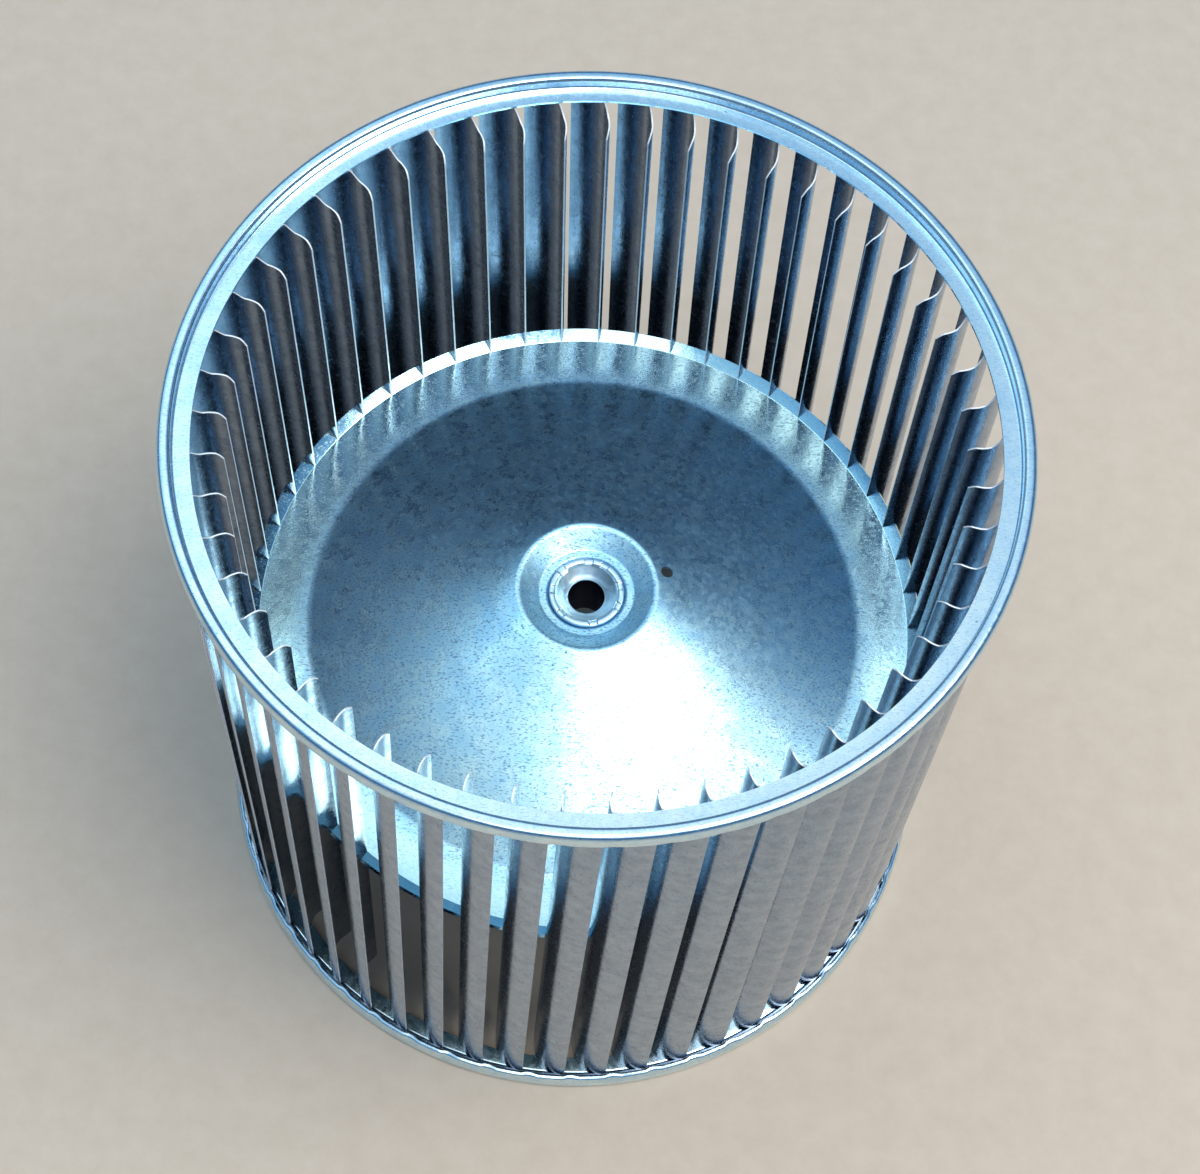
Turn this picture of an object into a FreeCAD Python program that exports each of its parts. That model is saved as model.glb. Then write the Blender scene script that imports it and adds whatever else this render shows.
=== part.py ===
import FreeCAD, Part
import math
import os
import Sketcher

# A double-inlet blower wheel with forward-curved blades, standing on its lower end ring.
# The origin is the centre of the circle that it stands on, and +Z runs along the shaft.

doc = FreeCAD.newDocument("blower_wheel")
sheet = doc.addObject("Spreadsheet::Sheet", "Sizes")

# Driving sizes, in millimetres and degrees
SIZES = (
    ("outer_diameter", 269.9, "wheel over the end rings"),
    ("overall_width", 269.9, "wheel from crown to crown"),
    ("blade_count", 53, "blades round the wheel"),
    ("ring_sheet", 0.8, "thickness of the end rings"),
    ("bead_width", 4.35, "outermost skin to the bead's inner wall"),
    ("bead_height", 4.4, "crown to the outer face of the flange"),
    ("crown_inner_bend", 1.3, "outside radius where the inner wall meets the crown"),
    ("crown_outer_bend", 2.0, "outside radius where the crown meets the skirt"),
    ("flange_bend", 0.6, "inside radius where the flange meets the inner wall"),
    ("flange_width", 5.55, "flange, from its free edge to the inner wall"),
    ("skirt_depth", 8.0, "crown to the crimped lip"),
    ("lip_inset", 1.85, "how far the lip is crimped in from the outermost skin"),
    ("strip_sheet", 0.5, "thickness of the blade strip"),
    ("lip_clearance", 0.05, "lip to the strip's outer face"),
    ("flange_clearance", 0.1, "flange to the blades' ends"),
    ("margin_clearance", 0.4, "crown's inside to the edge of the strip's margin"),
    ("margin_height", 6.0, "margin of the strip that joins the blades"),
    ("blade_depth", 16.95, "blades' inner edges, in from the strip's outer face"),
    ("blade_lead", 5.45, "degrees that a blade's outer edge runs ahead of its inner edge"),
    ("shoulder_depth", 12.5, "crown to the blades' inner corners"),
    ("shoulder_rise", 2.4, "height of the shoulder above the inner corner"),
    ("shoulder_start", 2.7, "inner corner to the start of the shoulder's flat"),
    ("shoulder_run", 4.2, "length of the shoulder's flat"),
    ("shoulder_sweep", 5.0, "length of the curve from the shoulder up to the flange"),
    ("neck_depth", 13.0, "crown to the foot of the neck at a blade's outer corner"),
    ("neck_turn", 10.9, "degrees of the blade's arc that the neck is cut back from the outer edge"),
    ("neck_slant", 1.5, "height of the neck's slanting foot"),
    ("disc_sheet", 1.2, "thickness of the centre disc"),
    ("disc_drop", 3.0, "middle of the width to the crease"),
    ("rim_width", 3.85, "crease to the rim's free edge, along the radius"),
    ("rim_rise", 2.35, "crease to the rim's free edge, upwards"),
    ("slot_clearance", 0.2, "blade to the sides of its slot"),
    ("slot_flare", 41.0, "degrees between the two sides of a slot"),
    ("slope_width", 4.3, "crease in to the shelf"),
    ("shelf_width", 13.8, "shelf, in to the foot of the cone"),
    ("slope_drop", 1.45, "crease down to the shelf's outer edge"),
    ("shelf_drop", 0.4, "shelf's outer edge down to its inner edge"),
    ("cone_height", 27.25, "foot of the cone to its brim"),
    ("dish_wall", 7.7, "edge of the dish's flat floor out to its brim"),
    ("dish_depth", 5.2, "brim to the dish's floor"),
    ("dish_floor_rim", 0.5, "hub's barrel out to the edge of the dish's flat floor"),
    ("brim_bend", 3.0, "rounding of the brim"),
    ("foot_bend", 4.0, "rounding of the cone's foot"),
    ("tooling_hole_diameter", 4.2, "small hole in the cone"),
    ("tooling_hole_radius", 29.2, "small hole's distance from the shaft"),
    ("tooling_hole_angle", 20.5, "small hole's place round the shaft"),
    ("bore_diameter", 12.7, "half-inch shaft bore"),
    ("bore_chamfer", 1.0, "chamfer at both ends of the bore"),
    ("barrel_diameter", 31.75, "hub's barrel under the disc"),
    ("barrel_length", 25.4, "hub's barrel under the disc"),
    ("barrel_chamfer", 0.8, "chamfer at the barrel's free end"),
    ("spigot_diameter", 24.0, "hub's spigot through the disc"),
    ("seat_clearance", 0.05, "disc to the hub's spigot, shoulder and staked lip"),
    ("stake_reach", 1.6, "staked lip beyond the spigot"),
    ("stake_height", 0.8, "staked lip above the dish's floor"),
    ("stake_width", 2.9, "staked lip from its rim inwards"),
    ("face_recess", 1.0, "hub's face at the bore, below its shoulder"),
    ("stake_marks", 8, "punch marks round the staked lip"),
    ("mark_width", 2.2, "width of a punch mark"),
    ("mark_depth", 0.5, "depth of a punch mark"),
    ("screw_diameter", 7.9, "set screw"),
    ("screw_clearance", 0.05, "set screw to its hole, thread left plain"),
    ("screw_drop", 16.0, "hub's shoulder to the set screw"),
    ("screw_tip_gap", 0.4, "set screw's tip, backed off from the bore"),
    ("screw_neck", 1.5, "barrel to the underside of the screw's head"),
    ("screw_head_square", 7.9, "screw's head across its flats"),
    ("screw_head_height", 5.9, "height of the screw's head"),
    ("screw_chamfer", 0.8, "chamfer at the screw's tip and head"),
    ("strip_phase", 104.05, "place of the first blade's outer edge round the shaft"),
)
for row, (alias, size, meaning) in enumerate(SIZES, start=1):
    sheet.set(f"A{row}", meaning)
    sheet.set(f"B{row}", str(size))
    sheet.setAlias(f"B{row}", alias)
doc.recompute()

# Places that several pieces share, as expressions on the sheet
HALF_WIDTH = "Sizes.overall_width / 2"
OUTER = "Sizes.outer_diameter / 2"
WALL = f"({OUTER} - Sizes.bead_width)"
LIP_SKIN = f"({OUTER} - Sizes.lip_inset)"
LIP_INSIDE = f"({LIP_SKIN} - Sizes.ring_sheet)"
STRIP_OUTER = f"({LIP_INSIDE} - Sizes.lip_clearance)"
BLADE_END = "(Sizes.bead_height + Sizes.ring_sheet + Sizes.flange_clearance)"
INLET = f"({STRIP_OUTER} - Sizes.blade_depth)"
CREASE = "(-Sizes.disc_drop)"
CONE_FOOT = f"({CREASE} - Sizes.slope_drop - Sizes.shelf_drop)"
BRIM = f"({CONE_FOOT} + Sizes.cone_height)"
DISH_FLOOR = f"({BRIM} - Sizes.dish_depth)"
HUB_SHOULDER = f"({DISH_FLOOR} - Sizes.disc_sheet - Sizes.seat_clearance)"
SPIGOT = "(Sizes.spigot_diameter / 2)"
BARREL = "(Sizes.barrel_diameter / 2)"
BORE = "(Sizes.bore_diameter / 2)"
FLOOR_EDGE = f"({BARREL} + Sizes.dish_floor_rim)"
BRIM_RADIUS = f"({FLOOR_EDGE} + Sizes.dish_wall)"
SHELF_OUTER = f"({INLET} - Sizes.slope_width)"
FOOT_RADIUS = f"({SHELF_OUTER} - Sizes.shelf_width)"


def value(expression):
    """The number that an expression on the sheet gives now."""
    return float(sheet.evalExpression(expression))


def origin_feature(body, role):
    """The body's own origin plane or axis with this role."""
    return next(item for item in body.Origin.OriginFeatures if item.Role == role)


def new_sketch(body, name, role):
    """A sketch on one of the body's own origin planes."""
    sketch = body.newObject("Sketcher::SketchObject", name)
    sketch.AttachmentSupport = [(origin_feature(body, role), "")]
    sketch.MapMode = "FlatFace"
    return sketch


def bind(sketch, constraint, expression):
    """Adds a dimension to the sketch and ties it to the sheet."""
    index = sketch.addConstraint(constraint)
    sketch.setExpression(f"Constraints[{index}]", expression)


def draw_outline(sketch, corners):
    """A closed outline through corners of (x, y) or (x, y, radius), each an expression on the sheet.

    With a radius, the edge that leaves the corner is an arc: it turns left, or right if the radius
    starts with a minus.
    """
    spots = [FreeCAD.Vector(value(corner[0]), value(corner[1]), 0) for corner in corners]
    edges = []
    for index, corner in enumerate(corners):
        here = spots[index]
        there = spots[(index + 1) % len(corners)]
        if len(corner) == 2:
            geometry = sketch.addGeometry(Part.LineSegment(here, there), False)
            edges.append((geometry, 1, 2))
            continue
        turns_right = corner[2].startswith("-")
        radius = abs(value(corner[2]))
        chord = there - here
        side = FreeCAD.Vector(-chord.y, chord.x, 0).normalize()
        if turns_right:
            side = side * -1
        centre = here + chord * 0.5 + side * math.sqrt(max(radius**2 - (chord.Length / 2) ** 2, 0))
        first, last = (there, here) if turns_right else (here, there)
        angles = [math.atan2(spot.y - centre.y, spot.x - centre.x) for spot in (first, last)]
        circle = Part.Circle(centre, FreeCAD.Vector(0, 0, 1), radius)
        geometry = sketch.addGeometry(Part.ArcOfCircle(circle, angles[0], angles[1]), False)
        edges.append((geometry, 2, 1) if turns_right else (geometry, 1, 2))
    for index, (geometry, start, end) in enumerate(edges):
        following, follow_start, _ = edges[(index + 1) % len(edges)]
        sketch.addConstraint(Sketcher.Constraint("Coincident", geometry, end, following, follow_start))
    for index, (geometry, start, end) in enumerate(edges):
        spot = spots[index]
        bind(sketch, Sketcher.Constraint("DistanceX", -1, 1, geometry, start, spot.x), corners[index][0])
        bind(sketch, Sketcher.Constraint("DistanceY", -1, 1, geometry, start, spot.y), corners[index][1])
        if len(corners[index]) == 3:
            radius = corners[index][2].lstrip("-")
            bind(sketch, Sketcher.Constraint("Radius", geometry, value(radius)), radius)


def revolve(body, sketch, name, kind="PartDesign::Revolution"):
    """Turns a sketch once round the shaft, to add or to cut."""
    feature = body.newObject(kind, name)
    feature.Profile = sketch
    feature.ReferenceAxis = (sketch, ["V_Axis"])
    feature.Angle = 360
    return feature


def cut_through(body, sketch, name):
    """Cuts a sketch right through the body, both ways from its plane."""
    feature = body.newObject("PartDesign::Pocket", name)
    feature.Profile = sketch
    feature.Type = "ThroughAll"
    feature.Midplane = True
    return feature


def polar(body, originals, name, count, whole=False):
    """Repeats features, or all the body so far, round the shaft."""
    feature = body.newObject("PartDesign::PolarPattern", name)
    if whole:
        feature.TransformMode = "Whole shape"
    else:
        feature.Originals = originals
    feature.Axis = (origin_feature(body, "Z_Axis"), [""])
    feature.Angle = 360
    feature.setExpression("Occurrences", count)
    body.Tip = feature
    return feature


def new_body(label, height=None):
    """A body whose own middle or seat is at this height on the wheel."""
    body = doc.addObject("PartDesign::Body", label)
    body.Label = label
    if height is not None:
        body.setExpression("Placement.Base.z", height)
    return body


# End rings
# Roll-formed from sheet. The outline starts at the flange's free edge and follows the outer skin
# over the crown to the crimped lip, then comes back inside. The crown is at the ring's own zero.
def make_end_ring(label):
    body = new_body(label)
    flange_edge = f"{WALL} - Sizes.flange_width"
    bend_start = f"{WALL} - Sizes.flange_bend"
    crown_start = f"{WALL} + Sizes.crown_inner_bend"
    crown_end = f"{OUTER} - Sizes.crown_outer_bend"
    wall_inside = f"{WALL} + Sizes.ring_sheet"
    flange_top = "-Sizes.bead_height"
    flange_under = "-Sizes.bead_height - Sizes.ring_sheet"
    wall_foot = "-Sizes.bead_height + Sizes.flange_bend"
    outline = (
        (flange_edge, flange_under),
        (bend_start, flange_under, "Sizes.flange_bend + Sizes.ring_sheet"),
        (wall_inside, wall_foot),
        (wall_inside, "-Sizes.crown_inner_bend", "-(Sizes.crown_inner_bend - Sizes.ring_sheet)"),
        (crown_start, "-Sizes.ring_sheet"),
        (crown_end, "-Sizes.ring_sheet", "-(Sizes.crown_outer_bend - Sizes.ring_sheet)"),
        (f"{OUTER} - Sizes.ring_sheet", "-Sizes.crown_outer_bend"),
        (LIP_INSIDE, "-Sizes.skirt_depth"),
        (LIP_SKIN, "-Sizes.skirt_depth"),
        (OUTER, "-Sizes.crown_outer_bend", "Sizes.crown_outer_bend"),
        (crown_end, "0"),
        (crown_start, "0", "Sizes.crown_inner_bend"),
        (WALL, "-Sizes.crown_inner_bend"),
        (WALL, wall_foot, "-Sizes.flange_bend"),
        (bend_start, flange_top),
        (flange_edge, flange_top),
    )
    sketch = new_sketch(body, f"{label}_section", "XZ_Plane")
    draw_outline(sketch, outline)
    revolve(body, sketch, f"{label}_rolled")
    return body


upper_ring = make_end_ring("upper_end_ring")
upper_ring.setExpression("Placement.Base.z", "Sizes.overall_width")
lower_ring = make_end_ring("lower_end_ring")
lower_ring.Placement.Rotation = FreeCAD.Rotation(FreeCAD.Vector(1, 0, 0), 180)


# Blade strip
# Modelled about the middle of its width. The first blade's outer edge is on the body's own X axis,
# and its back is an arc that meets the wheel's rim along the tangent there.
strip = new_body("blade_strip", HALF_WIDTH)
strip.AllowCompound = True
strip.Placement.Rotation = FreeCAD.Rotation(FreeCAD.Vector(0, 0, 1), value("Sizes.strip_phase"))

EDGE_X = f"({INLET} * cos(Sizes.blade_lead))"
EDGE_Y = f"(-{INLET} * sin(Sizes.blade_lead))"
REACH = f"({STRIP_OUTER} - {EDGE_X})"
BACK = f"(({REACH}^2 + {EDGE_Y}^2) / (2 * {REACH}))"
CENTRE_X = f"({STRIP_OUTER} - {BACK})"
section = new_sketch(strip, "blade_section", "XY_Plane")
draw_outline(section, (
    (EDGE_X, EDGE_Y, BACK),
    (STRIP_OUTER, "0"),
    (f"{STRIP_OUTER} - Sizes.strip_sheet", "0", f"-({BACK} - Sizes.strip_sheet)"),
    (
        f"{EDGE_X} + Sizes.strip_sheet * ({CENTRE_X} - {EDGE_X}) / {BACK}",
        f"{EDGE_Y} - Sizes.strip_sheet * {EDGE_Y} / {BACK}",
    ),
))
blade = strip.newObject("PartDesign::Pad", "blade")
blade.Profile = section
blade.Midplane = True
blade.setExpression("Length", f"2 * ({HALF_WIDTH} - {BLADE_END})")

# The shoulder is cut to an S-curve that climbs from the inner corner to the ring's flange.
past_inlet = f"{INLET} - Sizes.shoulder_start"
past_end = f"{HALF_WIDTH} - Sizes.bead_height"
corner_height = f"({HALF_WIDTH} - Sizes.shoulder_depth)"
flat_height = f"({corner_height} + Sizes.shoulder_rise)"
end_height = f"({HALF_WIDTH} - {BLADE_END})"
flat_start = f"({INLET} + Sizes.shoulder_start)"
flat_end = f"({flat_start} + Sizes.shoulder_run)"
half_sweep = "(Sizes.shoulder_sweep / 2)"
half_climb = f"(({end_height} - {flat_height}) / 2)"
sweep_bend = f"(({half_sweep}^2 + {half_climb}^2) / (2 * {half_climb}))"
shoulder = new_sketch(strip, "shoulder_outline", "XZ_Plane")
draw_outline(shoulder, (
    (past_inlet, corner_height),
    (INLET, corner_height),
    (flat_start, flat_height),
    (flat_end, flat_height, sweep_bend),
    (f"{flat_end} + {half_sweep}", f"{flat_height} + {half_climb}", f"-{sweep_bend}"),
    (f"{flat_end} + Sizes.shoulder_sweep", end_height),
    (f"{flat_end} + Sizes.shoulder_sweep", past_end),
    (past_inlet, past_end),
))
shoulder_cut = revolve(strip, shoulder, "shoulder", "PartDesign::Groove")

# The outer corner is cut back to a neck, which carries the blade on the strip's margin.
neck = new_sketch(strip, "neck_outline", "YZ_Plane")
neck_foot = f"{HALF_WIDTH} - Sizes.neck_depth"
setback = f"({BACK} * sin(Sizes.neck_turn))"
draw_outline(neck, (
    (setback, neck_foot),
    (setback, past_end),
    (f"-{setback}", past_end),
    (f"-{setback}", f"{neck_foot} + Sizes.neck_slant"),
    ("0", neck_foot),
))
neck_cut = cut_through(strip, neck, "neck")

other_end = strip.newObject("PartDesign::Mirrored", "other_end")
other_end.Originals = [shoulder_cut, neck_cut]
other_end.MirrorPlane = (origin_feature(strip, "XY_Plane"), [""])
strip.Tip = other_end
polar(strip, [], "blades", "Sizes.blade_count", whole=True)

# The margins stand inside the beads of the two rings.
margin = new_sketch(strip, "margin_section", "XZ_Plane")
margin_edge = f"({HALF_WIDTH} - Sizes.ring_sheet - Sizes.margin_clearance)"
margin_foot = f"({margin_edge} - Sizes.margin_height)"
margin_inner = f"{STRIP_OUTER} - Sizes.strip_sheet"
for low, high in ((margin_foot, margin_edge), (f"-{margin_edge}", f"-{margin_foot}")):
    draw_outline(margin, (
        (margin_inner, low),
        (STRIP_OUTER, low),
        (STRIP_OUTER, high),
        (margin_inner, high),
    ))
strip.Tip = revolve(strip, margin, "margins")


# Centre disc
# Modelled about the middle of the wheel's width. The outline runs out along the upper skin and back
# along the lower one.
disc = new_body("centre_disc", HALF_WIDTH)
disc.Placement.Rotation = strip.Placement.Rotation
upper_skin = (
    (f"{SPIGOT} + Sizes.seat_clearance", DISH_FLOOR),
    (FLOOR_EDGE, DISH_FLOOR),
    (BRIM_RADIUS, BRIM),
    (FOOT_RADIUS, CONE_FOOT),
    (SHELF_OUTER, f"{CREASE} - Sizes.slope_drop"),
    (INLET, CREASE),
    (f"{INLET} + Sizes.rim_width", f"{CREASE} + Sizes.rim_rise"),
)
lower_skin = tuple((radius, f"{height} - Sizes.disc_sheet") for radius, height in upper_skin)
disc_section = new_sketch(disc, "disc_section", "XZ_Plane")
draw_outline(disc_section, lower_skin + upper_skin[::-1])
pressing = revolve(disc, disc_section, "pressing")
doc.recompute()


def ring_edges(shape, radius):
    """Names of the circular edges round the shaft with this radius."""
    return [
        f"Edge{index}"
        for index, edge in enumerate(shape.Edges, start=1)
        if isinstance(edge.Curve, Part.Circle) and abs(edge.Curve.Radius - radius) < 1e-6
    ]


for name, radius, bend in (
    ("brim_rounding", BRIM_RADIUS, "Sizes.brim_bend"),
    ("foot_rounding", FOOT_RADIUS, "Sizes.foot_bend"),
):
    rounding = disc.newObject("PartDesign::Fillet", name)
    rounding.Base = (pressing, ring_edges(pressing.Shape, value(radius)))
    rounding.setExpression("Radius", bend)
    doc.recompute()
    pressing = rounding

# A flared slot for each blade: one side runs along the blade's back, and the other opens away.
ALONG_X = f"(-{EDGE_Y} / {BACK})"
ALONG_Y = f"(({EDGE_X} - {CENTRE_X}) / {BACK})"
FLARE_X = f"({ALONG_X} * cos(Sizes.slot_flare) - {ALONG_Y} * sin(Sizes.slot_flare))"
FLARE_Y = f"({ALONG_X} * sin(Sizes.slot_flare) + {ALONG_Y} * cos(Sizes.slot_flare))"
SLOT_LENGTH = "(1.5 * Sizes.rim_width + Sizes.slot_clearance)"
back_x = f"({EDGE_X} + Sizes.slot_clearance * ({ALONG_Y} - {ALONG_X}))"
back_y = f"({EDGE_Y} - Sizes.slot_clearance * ({ALONG_X} + {ALONG_Y}))"
slot_mouth = "(Sizes.strip_sheet + 2 * Sizes.slot_clearance)"
front_x = f"({back_x} - {slot_mouth} * {ALONG_Y})"
front_y = f"({back_y} + {slot_mouth} * {ALONG_X})"
slot = new_sketch(disc, "slot_outline", "XY_Plane")
draw_outline(slot, (
    (back_x, back_y),
    (f"{back_x} + {SLOT_LENGTH} * {ALONG_X}", f"{back_y} + {SLOT_LENGTH} * {ALONG_Y}"),
    (f"{front_x} + {SLOT_LENGTH} * {FLARE_X}", f"{front_y} + {SLOT_LENGTH} * {FLARE_Y}"),
    (front_x, front_y),
))
slot_cut = cut_through(disc, slot, "slot")
polar(disc, [slot_cut], "slots", "Sizes.blade_count")

hole = new_sketch(disc, "tooling_hole_outline", "XY_Plane")
hole_turn = "(Sizes.tooling_hole_angle - Sizes.strip_phase)"
hole_x = f"Sizes.tooling_hole_radius * cos({hole_turn})"
hole_y = f"Sizes.tooling_hole_radius * sin({hole_turn})"
hole_centre = FreeCAD.Vector(value(hole_x), value(hole_y), 0)
hole_size = value("Sizes.tooling_hole_diameter / 2")
rim = hole.addGeometry(Part.Circle(hole_centre, FreeCAD.Vector(0, 0, 1), hole_size), False)
bind(hole, Sketcher.Constraint("Radius", rim, hole_size), "Sizes.tooling_hole_diameter / 2")
bind(hole, Sketcher.Constraint("DistanceX", -1, 1, rim, 3, hole_centre.x), hole_x)
bind(hole, Sketcher.Constraint("DistanceY", -1, 1, rim, 3, hole_centre.y), hole_y)
disc.Tip = cut_through(disc, hole, "tooling_hole")


# Hub
# Its own zero is the shoulder that backs the disc. The outline starts at the bore's lower end.
hub = new_body("hub", f"{HALF_WIDTH} + {HUB_SHOULDER}")
lip_under = "(Sizes.disc_sheet + 2 * Sizes.seat_clearance)"
lip_rim = f"({SPIGOT} + Sizes.stake_reach)"
lip_top = f"({lip_under} + Sizes.stake_height)"
lip_rounding = "(Sizes.stake_height * 0.75)"
mouth = f"({BORE} + Sizes.bore_chamfer)"
hub_section = new_sketch(hub, "hub_section", "XZ_Plane")
draw_outline(hub_section, (
    (BORE, "-Sizes.barrel_length + Sizes.bore_chamfer"),
    (mouth, "-Sizes.barrel_length"),
    (f"{BARREL} - Sizes.barrel_chamfer", "-Sizes.barrel_length"),
    (BARREL, "-Sizes.barrel_length + Sizes.barrel_chamfer"),
    (BARREL, "0"),
    (SPIGOT, "0"),
    (SPIGOT, lip_under),
    (lip_rim, lip_under),
    (lip_rim, f"{lip_top} - {lip_rounding}", lip_rounding),
    (f"{lip_rim} - {lip_rounding}", lip_top),
    (f"{lip_rim} - Sizes.stake_width + Sizes.stake_height", lip_top),
    (f"{lip_rim} - Sizes.stake_width", lip_under),
    (mouth, "-Sizes.face_recess"),
    (BORE, "-Sizes.face_recess - Sizes.bore_chamfer"),
))
revolve(hub, hub_section, "turning")

mark = new_sketch(hub, "mark_outline", "XZ_Plane")
half_mark = "(Sizes.mark_width / 2)"
draw_outline(mark, (
    (f"-{half_mark}", lip_top),
    ("0", f"{lip_top} - Sizes.mark_depth"),
    (half_mark, lip_top),
    (half_mark, f"{lip_top} + Sizes.mark_depth"),
    (f"-{half_mark}", f"{lip_top} + Sizes.mark_depth"),
))
mark_cut = hub.newObject("PartDesign::Pocket", "mark")
mark_cut.Profile = mark
mark_cut.Type = "ThroughAll"
polar(hub, [mark_cut], "marks", "Sizes.stake_marks")

screw_hole = new_sketch(hub, "screw_hole_outline", "YZ_Plane")
screw_hole_size = "Sizes.screw_diameter / 2 + Sizes.screw_clearance"
screw_spot = FreeCAD.Vector(0, value("-Sizes.screw_drop"), 0)
rim = screw_hole.addGeometry(
    Part.Circle(screw_spot, FreeCAD.Vector(0, 0, 1), value(screw_hole_size)), False)
screw_hole.addConstraint(Sketcher.Constraint("PointOnObject", rim, 3, -2))
bind(screw_hole, Sketcher.Constraint("Radius", rim, value(screw_hole_size)), screw_hole_size)
bind(screw_hole, Sketcher.Constraint("DistanceY", -1, 1, rim, 3, screw_spot.y), "-Sizes.screw_drop")
screw_hole_cut = hub.newObject("PartDesign::Pocket", "screw_hole")
screw_hole_cut.Profile = screw_hole
screw_hole_cut.setExpression("Length", BARREL)
screw_hole_cut.Reversed = True
hub.Tip = screw_hole_cut


# Set screw
# Its own zero is its tip, and it points along +X through the hub's barrel.
screw = new_body("set_screw", f"{HALF_WIDTH} + {HUB_SHOULDER} - Sizes.screw_drop")
screw.setExpression("Placement.Base.x", f"{BORE} + Sizes.screw_tip_gap")
neck_end = f"({BARREL} + Sizes.screw_neck - {BORE} - Sizes.screw_tip_gap)"
shank_radius = "(Sizes.screw_diameter / 2)"
shank = new_sketch(screw, "shank_section", "XZ_Plane")
draw_outline(shank, (
    ("0", "0"),
    (f"{neck_end} + Sizes.screw_chamfer", "0"),
    (f"{neck_end} + Sizes.screw_chamfer", shank_radius),
    ("Sizes.screw_chamfer", shank_radius),
    ("0", f"{shank_radius} - Sizes.screw_chamfer"),
))
shank_turning = screw.newObject("PartDesign::Revolution", "shank")
shank_turning.Profile = shank
shank_turning.ReferenceAxis = (shank, ["H_Axis"])
shank_turning.Angle = 360

head = new_sketch(screw, "head_outline", "YZ_Plane")
half_head = "(Sizes.screw_head_square / 2)"
draw_outline(head, (
    (f"-{half_head}", f"-{half_head}"),
    (half_head, f"-{half_head}"),
    (half_head, half_head),
    (f"-{half_head}", half_head),
))
head.setExpression("AttachmentOffset.Base.z", neck_end)
head_pad = screw.newObject("PartDesign::Pad", "head")
head_pad.Profile = head
head_pad.setExpression("Length", "Sizes.screw_head_height")
screw.Tip = head_pad

doc.recompute()

# Every object is sound before anything is written.
for item in doc.Objects:
    if "Invalid" in item.State or "Error" in item.State:
        raise RuntimeError(f"{item.Name} failed: {item.State}")
bodies = [upper_ring, lower_ring, strip, disc, hub, screw]
for body in bodies:
    if body.Shape.isNull() or not body.Shape.isValid():
        raise RuntimeError(f"{body.Label} has no valid shape")
    if len(body.Shape.Solids) != 1:
        raise RuntimeError(f"{body.Label} has {len(body.Shape.Solids)} solids")

os.makedirs("parts", exist_ok=True)
for body in bodies:
    body.Shape.exportStep(f"parts/{body.Label}.step")
    box = body.Shape.BoundBox
    print(f"{body.Label}: {body.Shape.Volume / 1000:.2f} cm3, z {box.ZMin:.2f} to {box.ZMax:.2f}")
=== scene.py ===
# %% [markdown]
# # A blower wheel in galvanised steel
#
# The wheel is a drum of curved blades between two rolled end rings, carried by a dished disc with
# a staked hub. Every piece is thin zinc-coated sheet or a small turned part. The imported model
# gives the sizes and places; this script dresses it.

from math import atan2, cos, degrees, hypot, pi, radians, sin, tan
from random import Random

import bmesh
import bpy
from mathutils import Matrix, Vector


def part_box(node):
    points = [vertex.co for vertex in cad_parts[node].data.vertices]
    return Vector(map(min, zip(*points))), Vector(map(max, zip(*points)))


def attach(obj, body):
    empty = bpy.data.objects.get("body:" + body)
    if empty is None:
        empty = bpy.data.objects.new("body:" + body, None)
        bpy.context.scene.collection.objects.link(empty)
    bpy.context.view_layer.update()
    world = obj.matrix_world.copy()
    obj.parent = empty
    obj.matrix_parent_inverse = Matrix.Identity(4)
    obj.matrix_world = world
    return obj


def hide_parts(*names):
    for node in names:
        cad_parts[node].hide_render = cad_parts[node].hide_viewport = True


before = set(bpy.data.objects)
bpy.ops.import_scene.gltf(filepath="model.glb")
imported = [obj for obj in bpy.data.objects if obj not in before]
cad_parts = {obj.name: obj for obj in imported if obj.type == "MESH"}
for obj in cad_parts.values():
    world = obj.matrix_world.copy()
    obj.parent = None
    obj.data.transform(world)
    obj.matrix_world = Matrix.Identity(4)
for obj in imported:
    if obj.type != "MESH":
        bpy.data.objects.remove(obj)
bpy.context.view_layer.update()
print("nodes:", ", ".join(sorted(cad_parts)))

# %% [markdown]
# ## Sizes
#
# The wheel's diameter and width come from the frame. What the frame's boxes don't give, such as a
# sheet's thickness or the place of a fold, is named once, in metres, here or where its piece
# starts.

# %% Name the sizes
MM = 0.001
ring_low, ring_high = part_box("upper_end_ring")
strip_low, strip_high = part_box("blade_strip")
disc_low, disc_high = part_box("centre_disc")
hub_low, hub_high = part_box("hub")

WIDTH = ring_high[2]
RIM = max(ring_high[0], ring_high[1])
RING_SHEET = 0.8 * MM
DISC_SHEET = 1.2 * MM
STRIP_SHEET = 0.5 * MM
BLADES = 53
PITCH = 2 * pi / BLADES
print(f"wheel {2 * RIM / MM:.1f} mm across, {WIDTH / MM:.1f} mm wide, {BLADES} blades")

# %% [markdown]
# ## Camera
#
# The photograph looks down into the wheel from the front, about 60 degrees up. Its place and lens
# were fitted to the circles of the end rings, the disc and the hub. The camera first looks at the
# middle of the upper ring, then turns a little on its own axes.

# %% Place the camera
EYE_DISTANCE = 761.9 * MM
EYE_ELEVATION = radians(60.20)
AIM_HEIGHT = 269.1 * MM
CAMERA_YAW = radians(-0.30)
CAMERA_PITCH = radians(-3.70)
CAMERA_ROLL = radians(4.52)
FOCAL_PIXELS = 2484
FRAME_PIXELS = 1200
SENSOR = 36.0

camera_data = bpy.data.cameras.new("camera")
camera_data.sensor_fit = "HORIZONTAL"
camera_data.sensor_width = SENSOR
camera_data.lens = SENSOR * FOCAL_PIXELS / FRAME_PIXELS
camera = bpy.data.objects.new("camera", camera_data)
bpy.context.scene.collection.objects.link(camera)
bpy.context.scene.camera = camera

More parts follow.
